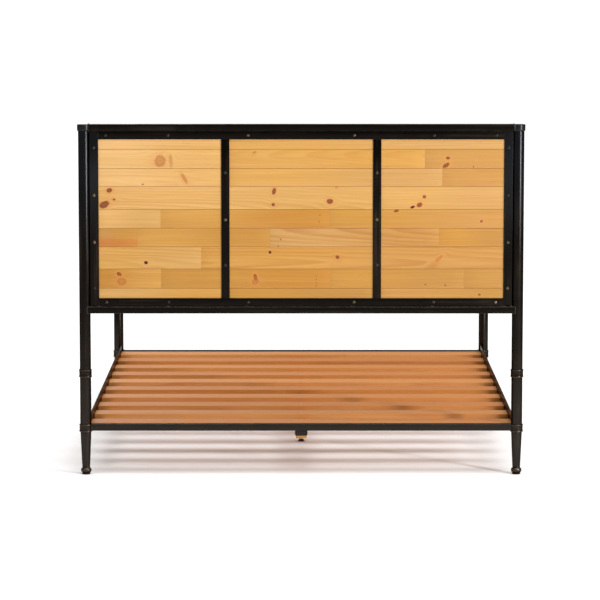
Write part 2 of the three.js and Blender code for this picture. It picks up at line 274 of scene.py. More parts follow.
def beadPiece(name, path, radius, material, closed, look=beadLook):
    # a circle carried along a path: p(s) + r(s) (cos v n + sin v m),
    # with r(s) = radius (1 + ripple |sin(pi s / pitch)|) and open ends drawn in to a round
    sides = look["sides"]
    step = np.roll(path, -1, axis=0) - path if closed else np.gradient(path, axis=0)
    length = np.concatenate([[0.0], np.cumsum(np.linalg.norm(np.diff(path, axis=0), axis=1))])
    tangent = (step + np.roll(step, 1, axis=0)) if closed else step
    tangent /= np.linalg.norm(tangent, axis=1, keepdims=True) + tiny
    guide = np.array([0.35, 0.52, 0.78])  # along none of the beads
    n = np.cross(tangent, guide)
    n /= np.linalg.norm(n, axis=1, keepdims=True)
    m = np.cross(tangent, n)
    v = np.arange(sides) / sides * 2 * np.pi
    r = radius * (1 + look["ripple"] * np.abs(np.sin(np.pi * length / (look["pitch"] * mm))))
    if not closed:
        fade = np.minimum(length, length[-1] - length) / (look["tip"] * radius)
        r = r * np.sqrt(np.clip(1 - (1 - np.clip(fade, 0, 1)) ** 2, look["blunt"], 1.0))
    ring = np.cos(v)[None, :, None] * n[:, None] + np.sin(v)[None, :, None] * m[:, None]
    grid = path[:, None] + r[:, None, None] * ring
    faces = gridQuads(len(path), sides, closed, True).tolist()
    if not closed:
        faces.append(list(range(sides)))
        faces.append([(len(path) - 1) * sides + k for k in range(sides)])
    wear = np.full(grid.shape[:2], look["wear"])
    return finishMesh(name, grid, faces, material, {"wear": wear}, look["sharpAngle"])


class Shading:
    # a material's node tree, with short ways to add and join nodes
    def __init__(self, name):
        self.material = bpy.data.materials.new(name)
        self.material.use_nodes = True
        self.nodes = self.material.node_tree.nodes
        self.links = self.material.node_tree.links
        self.surface = self.nodes["Principled BSDF"]

    def feed(self, socket, value):
        if isinstance(value, bpy.types.NodeSocket):
            self.links.new(value, socket)
        else:
            socket.default_value = value

    def add(self, kind, inputs=None, **settings):
        node = self.nodes.new(kind)
        for key, value in settings.items():
            setattr(node, key, value)
        for key, value in (inputs or {}).items():
            self.feed(node.inputs[key], value)
        return node

    def math(self, operation, a, b=0.0, c=0.0):
        return self.add("ShaderNodeMath", {0: a, 1: b, 2: c}, operation=operation).outputs[0]

    def times(self, a, b):
        return self.math("MULTIPLY", a, b)

    def plus(self, a, b):
        return self.math("ADD", a, b)

    def minus(self, a, b):
        return self.math("SUBTRACT", a, b)

    def ramp(self, value, low, high, toLow=0.0, toHigh=1.0):
        # toLow + (toHigh - toLow) (3t^2 - 2t^3), with t = (value - low) / (high - low) held to 0..1
        ends = {"Value": value, "From Min": low, "From Max": high, "To Min": toLow, "To Max": toHigh}
        return self.add("ShaderNodeMapRange", ends, interpolation_type="SMOOTHSTEP").outputs["Result"]

    def mix(self, factor, a, b, blend="MIX"):
        node = self.add("ShaderNodeMix", data_type="RGBA", blend_type=blend)
        self.feed(node.inputs[0], factor)
        self.feed(node.inputs[6], a)
        self.feed(node.inputs[7], b)
        return node.outputs[2]

    def layer(self, colour, tone, mask, share=1.0):
        # colour + share mask (tone - colour), with the tone in sRGB 0..255
        return self.mix(self.times(mask, share), colour, linear(tone))

    def place(self):
        return self.add("ShaderNodeTexCoord").outputs["Object"]

    def scaled(self, vector, scale, shift=(0.0, 0.0, 0.0)):
        return self.add("ShaderNodeMapping", {"Vector": vector, "Location": shift, "Scale": scale}).outputs[0]

    def noise(self, vector, scale=1.0, detail=3.0, rough=0.5, warp=0.0):
        inputs = {"Vector": vector, "Scale": scale, "Detail": detail, "Roughness": rough, "Distortion": warp}
        return self.add("ShaderNodeTexNoise", inputs).outputs[0]

    def attribute(self, name):
        return self.add("ShaderNodeAttribute", attribute_name=name).outputs["Fac"]

    def relief(self, height, depth, strength=1.0, under=None):
        # a bump as deep as depth in mm
        inputs = {"Height": height, "Distance": depth * mm, "Strength": strength}
        if under is not None:
            inputs["Normal"] = under
        return self.add("ShaderNodeBump", inputs).outputs[0]


def linear(colour):
    # sRGB 0..255 to linear: c / 12.92 when dark, ((c + 0.055) / 1.055)^2.4 otherwise
    c = np.array(colour, float) / 255
    low, high = c / 12.92, ((c + 0.055) / 1.055) ** 2.4
    return tuple(float(v) for v in np.where(c <= 0.04045, low, high)) + (1.0,)


def grainScale(axis, fineness, share=1.0):
    # puts a mark's finenesses along, across and through the grain on x, y and z, times share
    along, across, through = (share * v for v in fineness)
    scales = {"X": (along, across, through), "Y": (across, along, through), "Z": (through, through, along)}
    return scales[axis]


ironFinish = {
    "dark": (25, 22, 19),
    "lighterTone": (47, 43, 39),  # painted floor reflection: the paler tone the iron takes towards the floor
    "brown": (76, 66, 56),
    "rubbed": (100, 88, 76),
    "brass": (164, 112, 56),
    # painted sheen: the paler grey the posts take towards their tops, for the light on them there
    "topGrey": (44, 45, 47),
    "edgeTint": (0.45, 0.42, 0.4, 1.0),
    "brush": (2.0, 90.0, 90.0),  # fineness along, across and through the bar, per metre
    # painted floor reflection: none above the first height, full below the second
    "floorSheenHeights": (0.62, 0.1),
    # painted top sheen: none below the first height, full above the second
    "greyHeights": (0.75, 1.2),
    "brownShare": 0.45,
    # the rub at which each tone starts and is full, how far patches shift it, and its share
    "rubbedRange": (0.3, 0.75),
    "rubbedPatches": 0.6,
    "rubbedShare": 0.6,
    "brassRange": (0.78, 1.1),
    "brassPatches": 1.1,
    "brassShare": 0.9,
    "roughness": (0.19, 0.31),
    "streakRoughness": 0.05,
    "peelDepth": 0.06,
    "grainDepth": 0.02,
}


def ironMaterial(name, f, along, topSheenShare=0.0):
    # dark oil-bronze paint with brush streaks along the bar, paler towards the floor as painted
    # floor reflection and, on posts, greyer near the top as painted sheen, and rubbed back to brown,
    # then to brass, on the crests of its edges; rub = wear + patches (noise - 1/2)
    s = Shading(name)
    here = s.place()
    streaks = s.noise(s.scaled(here, grainScale(along, f["brush"])), detail=4.0, rough=0.6)
    clouds = s.noise(here, scale=6.0, rough=0.55, warp=0.3)
    patches = s.minus(s.noise(here, scale=48.0, detail=4.0, rough=0.7), 0.5)
    height = s.add("ShaderNodeSeparateXYZ", {"Vector": here}).outputs["Z"]
    # painted floor reflection: paler towards the floor, in patches
    low = s.times(s.ramp(height, *f["floorSheenHeights"]), s.ramp(clouds, 0.2, 0.6, toLow=0.6))
    colour = s.mix(low, linear(f["dark"]), linear(f["lighterTone"]))
    # painted sheen: greyer and paler towards the top, on posts only
    colour = s.layer(colour, f["topGrey"], s.ramp(height, *f["greyHeights"]), topSheenShare)
    browned = s.times(s.ramp(streaks, 0.45, 0.75), s.ramp(clouds, 0.35, 0.75))
    colour = s.layer(colour, f["brown"], browned, f["brownShare"])
    wear = s.attribute("wear")
    for tone in ("rubbed", "brass"):
        rub = s.plus(wear, s.times(patches, f[f"{tone}Patches"]))
        colour = s.layer(colour, f[tone], s.ramp(rub, *f[f"{tone}Range"]), f[f"{tone}Share"])
    s.feed(s.surface.inputs["Base Color"], colour)
    s.surface.inputs["Metallic"].default_value = 1.0
    s.surface.inputs["Specular Tint"].default_value = f["edgeTint"]
    rough = s.ramp(clouds, 0.3, 0.7, *f["roughness"])
    s.feed(s.surface.inputs["Roughness"], s.plus(rough, s.times(streaks, f["streakRoughness"])))
    peel = s.relief(s.noise(here, scale=260.0, detail=2.0), f["peelDepth"], 0.5)
    grainy = s.noise(here, scale=900.0, detail=2.0, rough=0.6)
    s.feed(s.surface.inputs["Normal"], s.relief(grainy, f["grainDepth"], 0.35, peel))
    return s.material


# the posts' copy carries the painted top sheen
ironPost = ironMaterial("ironPost", ironFinish, "Z", 0.85)
ironUp = ironMaterial("ironUpright", ironFinish, "Z")
ironAcross = ironMaterial("ironAcross", ironFinish, "X")
ironAlong = ironMaterial("ironAlong", ironFinish, "Y")

# bare weld metal under thin paint: brighter and shinier on the ripples
weldFinish = {
    "fineness": 420.0,
    "rough": 0.6,
    "drift": 0.0,
    "range": (0.4, 0.7),
    "dark": (34, 31, 29),
    "bright": (96, 90, 84),
    "roughness": (0.22, 0.4),
    "depth": 0.1,
    "strength": 0.5,
}

# blackened steel, rubbed back to warm bright metal in places, on some heads more than on others
screwFinish = {
    "fineness": 300.0,
    "rough": 0.65,
    "drift": 0.6,
    "range": (0.78, 1.0),
    "dark": (58, 56, 54),
    "bright": (136, 114, 88),
    "roughness": (0.2, 0.36),
    "depth": 0.03,
    "strength": 0.4,
}


def speckledMetal(name, f):
    # bright where fine noise + drift (slow noise) is high
    s = Shading(name)
    here = s.place()
    spots = s.noise(here, scale=f["fineness"], rough=f["rough"])
    slow = s.noise(here, scale=7.3, detail=0.0)
    bright = s.ramp(s.plus(spots, s.times(slow, f["drift"])), *f["range"])
    s.feed(s.surface.inputs["Base Color"], s.mix(bright, linear(f["dark"]), linear(f["bright"])))
    s.surface.inputs["Metallic"].default_value = 1.0
    s.feed(s.surface.inputs["Roughness"], s.ramp(spots, 0.3, 0.7, *f["roughness"]))
    s.feed(s.surface.inputs["Normal"], s.relief(spots, f["depth"], f["strength"]))
    return s.material


weldMetal = speckledMetal("weldMetal", weldFinish)
screwSteel = speckledMetal("screwSteel", screwFinish)


zincFinish = {
    "pale": (176, 174, 168),
    "yellowed": (158, 150, 132),
    "roughness": (0.26, 0.42),
}


def zincMaterial(f):
    # zinc plate: fine crystalline mottling, slightly yellowed
    s = Shading("zincPlate")
    here = s.place()
    cells = s.add("ShaderNodeTexVoronoi", {"Vector": here, "Scale": 520.0}).outputs["Distance"]
    clouds = s.noise(here, scale=90.0, rough=0.6)
    colour = s.mix(s.ramp(clouds, 0.35, 0.7), linear(f["pale"]), linear(f["yellowed"]))
    s.feed(s.surface.inputs["Base Color"], colour)
    s.surface.inputs["Metallic"].default_value = 1.0
    s.feed(s.surface.inputs["Roughness"], s.ramp(cells, 0.1, 0.9, *f["roughness"]))
    return s.material


zincPlate = zincMaterial(zincFinish)

nylonFinish = {
    "black": (30, 30, 31),
    "lighterTone": (74, 72, 70),
    "scuffs": (160.0, 160.0, 30.0),  # fineness along x, y and z, per metre
    "roughness": (0.5, 0.7),
    "depth": 0.04,
}


def nylonMaterial(f):
    # moulded nylon: fine spark-eroded texture and scuffs
    s = Shading("padNylon")
    here = s.place()
    texture = s.noise(here, scale=1400.0, detail=2.0, rough=0.6)
    scuffs = s.noise(s.scaled(here, f["scuffs"]), detail=4.0, rough=0.7)
    colour = s.mix(s.ramp(scuffs, 0.55, 0.8), linear(f["black"]), linear(f["lighterTone"]))
    s.feed(s.surface.inputs["Base Color"], colour)
    s.feed(s.surface.inputs["Roughness"], s.ramp(scuffs, 0.4, 0.8, *f["roughness"]))
    s.feed(s.surface.inputs["Normal"], s.relief(texture, f["depth"], 0.6))
    return s.material


padNylon = nylonMaterial(nylonFinish)

woodLook = {
    # fineness along, across and through the grain, per metre
    "streak": (1.0, 14.0, 14.0),
    "fibre": (7.0, 260.0, 900.0),
    "band": (1.4, 30.0, 60.0),
    "fleck": (26.0, 260.0, 620.0),
    "deepTint": (0.72, 0.52, 0.33, 1.0),
    "paleTint": (1.10, 1.16, 1.32, 1.0),
    "fleckTone": (150, 88, 38),
    "fleckShare": 0.35,
    "fibreShare": 0.22,
    "seamTone": (112, 66, 30),
    "seamShare": 0.6,
    "shine": 0.35,
    "rougher": 0.12,
    "ringDepth": 0.12,
    "fibreDepth": 0.05,
}

knotLook = {
    "ragged": 0.9,  # in the knot's own radii, as are the distances below
    "spread": 0.16,
    "push": 0.82,
    "inner": 14.0,
    "haloKinds": ("dark", "red", "light"),
    "halo": (2.8, 0.9),
    "haloShare": 0.38,
    "haloTone": (204, 132, 62),
    "rim": (0.45, 0.95),
    "edge": (1.2, 0.75),
    # heart, rim, strength
    "kinds": {
        "dark": ((70, 24, 4), (48, 18, 4), 1.0),
        "red": ((146, 68, 24), (98, 42, 16), 0.95),
        "light": ((184, 108, 40), (146, 76, 26), 0.6),
        "smear": ((168, 120, 58), (178, 126, 62), 0.6),
        "band": ((184, 104, 40), (190, 112, 44), 0.6),
        "nail": ((120, 84, 52), (70, 48, 32), 0.9),
    },
}


def knotDistance(s, here, knot, look):
    # |p| in the knot's own tilted axes, in radii, made ragged by noise: |p| + ragged (noise - 1/2)
    x, z, width, tall, tilt = knot[:5]
    local = s.add("ShaderNodeMapping", {
        "Vector": here,
        "Location": (x * mm, 0.0, z * mm),
        "Rotation": (0.0, math.radians(-tilt), 0.0),
        "Scale": (width * mm / 2, 1000.0, tall * mm / 2),
    }, vector_type="TEXTURE").outputs[0]
    distance = s.add("ShaderNodeVectorMath", {0: local}, operation="LENGTH").outputs["Value"]
    noise = s.noise(local, scale=2.6, rough=0.6)
    return s.math("MULTIPLY_ADD", noise, look["ragged"], s.minus(distance, look["ragged"] / 2))


def knotPush(s, across, distance, knot, look):
    # rings bend round a knot: -push (across - z) exp(-spread distance^2)
    spread = s.math("EXPONENT", s.times(s.times(distance, distance), -look["spread"]))
    return s.times(s.times(s.minus(across, knot[1] * mm), spread), -look["push"])


def knotColour(s, colour, distance, kind, look):
    # a halo, then rings sin(inner distance) from heart to rim, under a soft edge
    heart, rim, strength = look["kinds"][kind]
    if kind in look["haloKinds"]:
        halo = s.ramp(distance, *look["halo"])
        colour = s.layer(colour, look["haloTone"], halo, look["haloShare"] * strength)
    rings = s.math("SINE", s.times(distance, look["inner"]))
    inside = s.mix(s.ramp(rings, -1.0, 1.0, toHigh=0.7), linear(heart), linear(rim))
    inside = s.mix(s.ramp(distance, *look["rim"]), inside, linear(rim))
    return s.mix(s.times(s.ramp(distance, *look["edge"]), strength), colour, inside)


def woodMaterial(name, w, look=woodLook):
    # rings are the contours of a warped height across the board, and each knot pushes them apart;
    # a ring's colour rises with frac(height / ring) and falls back over the last tenth of it
    s = Shading(name)
    here = s.place()
    apart = s.add("ShaderNodeSeparateXYZ", {"Vector": here})
    alongAxis, acrossAxis = w.get("axes", ("X", "Z"))
    along, across = apart.outputs[alongAxis], apart.outputs[acrossAxis]

    def grain(kind, share=1.0, **settings):
        scale = grainScale(alongAxis, look[kind], share)
        return s.noise(s.scaled(here, scale, tuple(w["shift"])), **settings)

    slow = grain("streak", 1.1, detail=2.0, warp=0.4)
    height = s.plus(across, s.times(slow, w["wander"]))
    height = s.math("MULTIPLY_ADD", along, w["slope"], height)
    if w.get("crown"):
        # rings of a cone cut lengthwise: sqrt((across - middle)^2 + (depth + taper (along - start))^2)
        middle, start, depth, taper = w["crown"]
        side = s.minus(height, middle)
        deepness = s.math("MULTIPLY_ADD", s.minus(along, start), taper, depth)
        height = s.math("SQRT", s.plus(s.times(side, side), s.times(deepness, deepness)))
    knotMasks = []
    for knot in w.get("knots", ()):
        distance = knotDistance(s, here, knot, knotLook)
        height = s.plus(height, knotPush(s, across, distance, knot, knotLook))
        knotMasks.append((distance, knot[-1]))
    phase = s.math("FRACT", s.times(height, 1.0 / (w["ring"] * mm)))
    rise = s.ramp(phase, 0.15, 0.9)
    late = s.minus(rise, s.times(rise, s.ramp(phase, 0.9, 1.0)))
    late = s.times(late, s.ramp(grain("streak", 1.6, rough=0.6), 0.3, 0.7, toLow=0.35))
    fibre = grain("fibre", rough=0.6)
    bands = grain("band", detail=4.0, rough=0.6, warp=0.5)
    flecks = s.ramp(grain("fleck", detail=2.0), 0.66, 0.76)
    farTone, start, stop = w.get("toneAlong", (w["tone"], 0.0, 1.0))
    drift = s.ramp(along, start * 0.8 + stop * 0.2, start * 0.2 + stop * 0.8)
    base = s.mix(drift, linear(w["tone"]), linear(farTone))
    deep = s.mix(1.0, base, look["deepTint"], "MULTIPLY")
    pale = s.mix(1.0, base, look["paleTint"], "MULTIPLY")
    colour = s.mix(s.ramp(bands, 0.3, 0.72), base, pale)
    colour = s.mix(s.times(late, w["contrast"]), colour, deep)
    colour = s.mix(s.times(s.ramp(fibre, 0.35, 0.75), look["fibreShare"]), colour, deep)
    colour = s.layer(colour, look["fleckTone"], flecks, look["fleckShare"])
    for distance, kind in knotMasks:
        colour = knotColour(s, colour, distance, kind, knotLook)
    seam = s.ramp(s.attribute("wear"), 0.1, 0.9)
    s.feed(s.surface.inputs["Base Color"], s.layer(colour, look["seamTone"], seam, look["seamShare"]))
    rough = s.ramp(fibre, 0.3, 0.8, w["rough"], w["rough"] + look["rougher"])
    s.feed(s.surface.inputs["Roughness"], rough)
    s.surface.inputs["Specular IOR Level"].default_value = look["shine"]
    rings = s.relief(late, look["ringDepth"], 0.35)
    s.feed(s.surface.inputs["Normal"], s.relief(fibre, look["fibreDepth"], 0.5, rings))
    return s.material


print("materials made")


def nodeMiddle(node):
    # the middle of a node's box, seen from above
    low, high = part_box(node)
    return (low[0] + high[0]) / 2, (low[1] + high[1]) / 2


def halfWidth(node):
    # half of a node's box along x, which is a round part's radius
    low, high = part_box(node)
    return (high[0] - low[0]) / 2


postLook = {
    "wall": 2.0,
    "rim": 0.4,
    "spigotPlay": 0.5,
    "collarPlay": 0.15,
    "joint": 0.3,  # between a post's end and its cap or leg
}


def makePost(end, side, look):
    # a tube: a closed ring of (r, z) turned about the post's axis
    node = f"{end}_post_{side}"
    low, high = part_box(node)
    radius = halfWidth(node)
    corners = rectangle(radius - look["wall"] * mm, radius, low[2], high[2])
    profile, crest = softened(corners, look["rim"] * mm, 2)
    piece = turnedPiece(f"{node}_tube", profile, crest * 0.0, nodeMiddle(node), ironPost, closed=True)
    placed(piece, "frame", node)


def spigotRadius(end, side):
    # the post's radius less its wall and the play
    return halfWidth(f"{end}_post_{side}") - (postLook["wall"] + postLook["spigotPlay"]) * mm


capLook = {
    "dome": 0.8,
    "bevel": (1.2, 3.0),  # in and up, at the foot of the drum
    "reach": (0, 1.0, 0.4, 1.2, 2.0, 2.6, 0),  # of the corners below, in order
    "rubBand": 4.0,  # down from the top
    "rub": 0.55,
}


def makeCap(end, side, look):
    # a drum with softened edges, a slightly domed top and a spigot: (r, z) from axis to axis
    node = f"{end}_post_cap_{side}"
    low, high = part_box(node)
    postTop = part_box(f"{end}_post_{side}")[1][2]
    radius, spigot = halfWidth(node), spigotRadius(end, side)
    base = postTop + postLook["joint"] * mm
    inward, up = (value * mm for value in look["bevel"])
    corners = [
        (0.0, low[2]),
        (spigot, low[2]),
        (spigot, base),
        (radius - inward, base),
        (radius, base + up),
        (radius, high[2] - look["dome"] * mm),
        (0.0, high[2]),
    ]
    profile, crest = softened(corners, np.array(look["reach"]) * mm, 6, closed=False)
    wear = crest * (profile[:, 1] > high[2] - look["rubBand"] * mm) * look["rub"]
    piece = turnedPiece(f"{node}_casting", profile, wear, nodeMiddle(node), ironPost)
    placed(piece, "frame", node)


bandLook = {
    "lip": 3.2,
    "stand": 0.9,
    "waist": 0.5,
    "rise": 0.35,  # in lips, as is the fall
    "fall": 1.4,
    # of the corners below, in order
    "reach": (0.2, 0.8, 0.9, 0.9, 0.9, 6.0, 0.9, 0.9, 0.9, 0.8, 0.2),
    "rub": (0.0, 0.6, 1.0, 0.9, 0.1, 0.0, 0.1, 0.9, 1.0, 0.6, 0.0),
}


def makeCollar(node, look):
    # a band with a raised, rubbed lip at each edge and a shallow waist between them: (r, z) turned
    # about its post's axis, with a bore that clears the post
    low, high = (edge[2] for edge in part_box(node))
    post = node.replace("mid_collar", "post").replace("rail_collar", "post")
    radius = halfWidth(node)
    bore = halfWidth(post) + postLook["collarPlay"] * mm
    lip, drum = look["lip"] * mm, radius - look["stand"] * mm
    corners = [
        (bore, low),
        (drum, low),
        (radius, low + lip * look["rise"]),
        (radius, low + lip),
        (drum, low + lip * look["fall"]),
        (drum - look["waist"] * mm, (low + high) / 2),
        (drum, high - lip * look["fall"]),
        (radius, high - lip),
        (radius, high - lip * look["rise"]),
        (drum, high),
        (bore, high),
    ]
    profile, crest = softened(corners, np.array(look["reach"]) * mm, 4)
    wear = crest * np.repeat(look["rub"], 5)
    piece = turnedPiece(f"{node}_band", profile, wear, nodeMiddle(post), ironPost, closed=True)
    placed(piece, "frame", node)


legLook = {
    "foot": [(0.0, 0.0), (14.2, 0.0), (15.3, 1.1), (15.3, 4.4), (13.6, 5.8)],
    "beadMiddle": (13.6, 15.0),
    "beadHalf": (5.9, 8.4),
    "beadArc": (-0.40, 0.46),  # in half turns
    "ankle": (14.0, 23.8),
    "taperTop": (0.6, 1.2),  # in from the post's radius, down from its end
    "taperBend": 0.92,
    "shoulder": 0.9,
    "tipBevel": 1.0,
    "rub": 0.72,
    "rubTurn": 0.9,  # radians
}


def makeLeg(end, side, look):
    # a small foot, a bead (r, z) = middle + half (cos a, sin a), and a taper whose radius grows with
    # t^bend up to a shoulder and a spigot
    node = f"{end}_leg_{side}"
    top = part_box(node)[1][2]
    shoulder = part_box(f"{end}_post_{side}")[0][2] - postLook["joint"] * mm
    radius, spigot = halfWidth(f"{end}_post_{side}"), spigotRadius(end, side)
    foot = np.array(look["foot"]) * mm
    a = np.linspace(*(np.pi * turn for turn in look["beadArc"]), 17)
    bead = np.array(look["beadMiddle"]) + np.stack([np.cos(a), np.sin(a)], axis=1) * look["beadHalf"]
    t = np.linspace(0.0, 1.0, 15)
    (ankleR, ankleZ), (inward, down) = look["ankle"], look["taperTop"]
    taperR = ankleR * mm + (radius - (ankleR + inward) * mm) * t ** look["taperBend"]
    taperZ = ankleZ * mm + (shoulder - (ankleZ + down) * mm) * t
    bevel = look["tipBevel"] * mm
    tip = [
        (radius - look["shoulder"] * mm, shoulder),
        (spigot, shoulder),
        (spigot, top - bevel),
        (spigot - bevel, top),
        (0.0, top),
    ]
    profile = np.vstack([foot, bead * mm, np.stack([taperR, taperZ], axis=1), tip])
    wear = np.zeros(len(profile))
    wear[len(foot):len(foot) + len(bead)] = look["rub"] * np.clip(np.sin(a + look["rubTurn"]), 0, 1)
    piece = turnedPiece(f"{node}_casting", profile, wear, nodeMiddle(node), ironPost)
    placed(piece, "frame", node)


for end in ("head", "foot"):
    for side in ("left", "right"):
        makePost(end, side, postLook)
        makeCap(end, side, capLook)
        makeCollar(f"{end}_rail_collar_{side}", bandLook)
        makeLeg(end, side, legLook)
        if end == "head":
            makeCollar(f"{end}_mid_collar_{side}", bandLook)
print("posts, caps, collars and legs made")


railLook = {
    "tall": 25.0,
    "halfDepth": {"top": 19.0, "bottom": 19.0, "lower": 12.5},
    "edge": 2.4,
    "wall": 2.0,
    "gap": 0.3,
    "wear": {"top": 0.5, "bottom": 0.66, "lower": 0.5},
    "rings": 9,
    "bead": 1.9,
    "beadSink": 0.4,
    "beadRings": 160,
}


def makeCrossRail(node, meets, look):
    # a hollow tube along x whose ends follow the round piece they meet: x = X - sqrt(R^2 - (y - Y)^2)
    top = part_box(node)[1][2]
    reachX = nodeMiddle(meets.format("right"))[0]
    radius = halfWidth(meets.format("right")) + look["gap"] * mm
    plane = headPlane if node.startswith("head") else footPlane
    kind = node.split("_")[1]
    depth, tall, wall = look["halfDepth"][kind] * mm, look["tall"] * mm, look["wall"] * mm
    bottom = top - tall
    outer, crest = softened(rectangle(plane - depth, plane + depth, bottom, top), look["edge"] * mm, 5)
    middle = np.array([plane, (bottom + top) / 2])
    inner = middle + (outer - middle) * (1 - wall / np.array([depth, tall / 2]))
    outerEnd = reachX - np.sqrt(radius**2 - (outer[:, 0] - plane) ** 2)
    innerEnd = reachX - np.sqrt(radius**2 - (inner[:, 0] - plane) ** 2)
    rows = look["rings"]
    stations = np.linspace(-1.0, 1.0, rows)
    x = np.vstack([stations[:, None] * outerEnd, stations[::-1, None] * innerEnd])
    ring = np.concatenate([np.repeat(outer[None], rows, axis=0), np.repeat(inner[None], rows, axis=0)])
    grid = np.stack([x, ring[..., 0], ring[..., 1]], axis=-1)
    faces = gridQuads(2 * rows, len(outer), True, True).tolist()
    wear = np.zeros(grid.shape[:2])
    wear[:rows] = crest * look["wear"][kind]
    tube = finishMesh(f"{node}_tube", grid, faces, ironAcross, {"wear": wear})
    placed(tube, "frame", node)
    for side, sign in (("left", -1), ("right", 1)):
        path = np.stack([sign * (outerEnd - look["beadSink"] * mm), outer[:, 0], outer[:, 1]], axis=1)
        wrapped = np.vstack([path, path[:1]])
        fine = np.linspace(0, len(path), look["beadRings"], endpoint=False)
        dense = np.stack([np.interp(fine, np.arange(len(wrapped)), axis) for axis in wrapped.T], axis=1)
        placed(beadPiece(f"{node}_weld_{side}", dense, look["bead"] * mm, weldMetal, True))


for node, meets in (
    ("headboard_top_rail", "head_post_cap_{}"),
    ("headboard_bottom_rail", "head_post_{}"),
    ("headboard_lower_rail", "head_mid_collar_{}"),
    ("footboard_top_rail", "foot_post_cap_{}"),
    ("footboard_lower_rail", "head_mid_collar_{}"),
):
    makeCrossRail(node, meets, railLook)
print("cross rails and their welds made")

saddleLook = {
    "thick": 3.0,
    "half": 23.0,
    "cut": 4.0,
    "corner": 2.5,
    "square": 0.2,
    "edge": 0.7,
    "ease": 0.6,
    "lap": 0.4,  # into the rail above
    "gap": 0.05,
}
saddleRub = 0.3


def makeSaddle(rail, plane, name, look):
    # a plate (x, z) with cut lower corners carried along y, and a shelf (y, z) carried along x
    low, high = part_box(rail)
    inward = 1.0 if plane < 0 else -1.0
    outer = plane - inward * railLook["halfDepth"]["lower"] * mm
    tip = high[1] if inward > 0 else low[1]
    thick, half, cut, corner, square, edge, ease, lap, gap = (value * mm for value in look.values())
    top = high[2] - railLook["tall"] * mm + lap
    bottom = low[2]
    corners = [
        (-half, top),
        (-half, bottom + cut),
        (cut - half, bottom),
        (half - cut, bottom),
        (half, bottom + cut),
        (half, top),
    ]
    section, crest = softened(corners, [square, corner, corner, corner, corner, square], 4)
    stations = sorted([outer, outer + inward * thick])
    placed(carriedPiece(f"{name}_plate", section, crest * saddleRub, stations, "y", ironAcross, ease))
    start = outer + inward * (thick + gap)
    section, crest = softened(rectangle(start, tip, bottom, bottom + thick), edge, 3)
    stations = [cut - half, half - cut]
    placed(carriedPiece(f"{name}_shelf", section, crest * saddleRub, stations, "x", ironAcross, ease))


makeSaddle("headboard_lower_rail", headPlane, "head_saddle", saddleLook)
makeSaddle("footboard_lower_rail", footPlane, "foot_saddle", saddleLook)

channelLook = {
    "thick": 3.0,
    "edge": 0.7,
    "ease": 0.2,
    "rub": (1.0, 0.8, 0.2, 0.0, 0.0, 0.2, 0.8, 1.0),
    "wear": 0.35,
    "rings": {"x": 7, "z": 5},
}


def makeChannel(node, across, look):
    # a U of equal thickness, (inset from the web, depth) round its eight corners, carried along x for
    # the top and bottom ones and along z for the upright ones
    low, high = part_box(node)
    k = 2 if across else 0
    far = node.endswith("top") or node.endswith("right")
    web, inward = (high[k], -1.0) if far else (low[k], 1.0)
    t, flange, back, front = look["thick"] * mm, high[k] - low[k], low[1], high[1]
    insets = [0.0, flange, flange, t, t, flange, flange, 0.0]
    depths = [back, back, back + t, back + t, front - t, front - t, front, front]
    corners = [(web + inward * inset, depth) for inset, depth in zip(insets, depths)]
    axis, finish, run = "z", ironPost, 2
    if across:
        corners = [(depth, height) for height, depth in corners]
        axis, finish, run = "x", ironAcross, 0
    section, crest = softened(corners, look["edge"] * mm, 3)
    wear = crest * np.repeat(look["rub"], 4) * look["wear"]
    stations = np.linspace(low[run], high[run], look["rings"][axis])
    piece = carriedPiece(f"{node}_steel", section, wear, stations, axis, finish, look["ease"] * mm)
    placed(piece, "frame", node)


for place in ("top", "bottom", "left", "right"):
    makeChannel(f"panel_channel_{place}", place in ("top", "bottom"), channelLook)

strapLook = {"edge": 0.8, "ease": 0.3, "wear": 0.3, "rings": 5}


def makeStrap(node, look):
    # a flat bar: a softened rectangle (x, y) carried along z
    low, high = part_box(node)
    section, crest = softened(rectangle(low[0], high[0], low[1], high[1]), look["edge"] * mm, 4)
    stations = np.linspace(low[2], high[2], look["rings"])
    wear, ease = crest * look["wear"], look["ease"] * mm
    placed(carriedPiece(f"{node}_bar", section, wear, stations, "z", ironUp, ease), "frame", node)


for face in ("back", "front"):
    for side in ("left", "right"):
        makeStrap(f"{face}_strap_{side}", strapLook)

angleLook = {
    "thick": 4.0,
    # of the six corners, from the heel round to the ledge
    "reach": (1.2, 1.0, 1.0, 3.0, 1.0, 1.0),
    "rub": (1.0, 0.9, 0.7, 0.0, 0.6, 0.6),
    "wear": 0.7,
    "ease": 0.6,
    "rings": 11,
}


def makeSideRail(side, look):
    # an angle (x, z) carried along y, with a small root radius and a rounded heel
    node = f"side_rail_{side}"
    low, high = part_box(node)
    t = look["thick"] * mm
    outer, ledge, inward = (high[0], low[0], -1.0) if side == "right" else (low[0], high[0], 1.0)
    corners = [
        (outer, low[2]),
        (outer, high[2]),
        (outer + inward * t, high[2]),
        (outer + inward * t, low[2] + t),
        (ledge, low[2] + t),
        (ledge, low[2]),
    ]
    section, crest = softened(corners, np.array(look["reach"]) * mm, 4)
    wear = crest * np.repeat(look["rub"], 5) * look["wear"]
    stations = np.linspace(low[1], high[1], look["rings"])
    piece = carriedPiece(f"{node}_angle", section, wear, stations, "y", ironAlong, look["ease"] * mm)
    placed(piece, "frame", node)


lugLook = {
    "thick": 5.0,
    "tall": 23.0,
    "gap": 0.3,
    "fromPlane": 22.6,
    "edge": 1.0,
    "ease": 0.8,
    "wear": 0.6,
    "rings": 4,
}


def lugPlace(end, side):
    # the face of the side rail that the lug stands off, the collar's tip and the way inwards
    railLow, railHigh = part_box(f"side_rail_{side}")
    collarLow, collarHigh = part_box(f"{end}_rail_collar_{side}")
    face = railHigh[0] if side == "right" else railLow[0]
    tip, inward = (collarHigh[1], 1.0) if end == "head" else (collarLow[1], -1.0)
    return face, tip, inward, railLow[2]


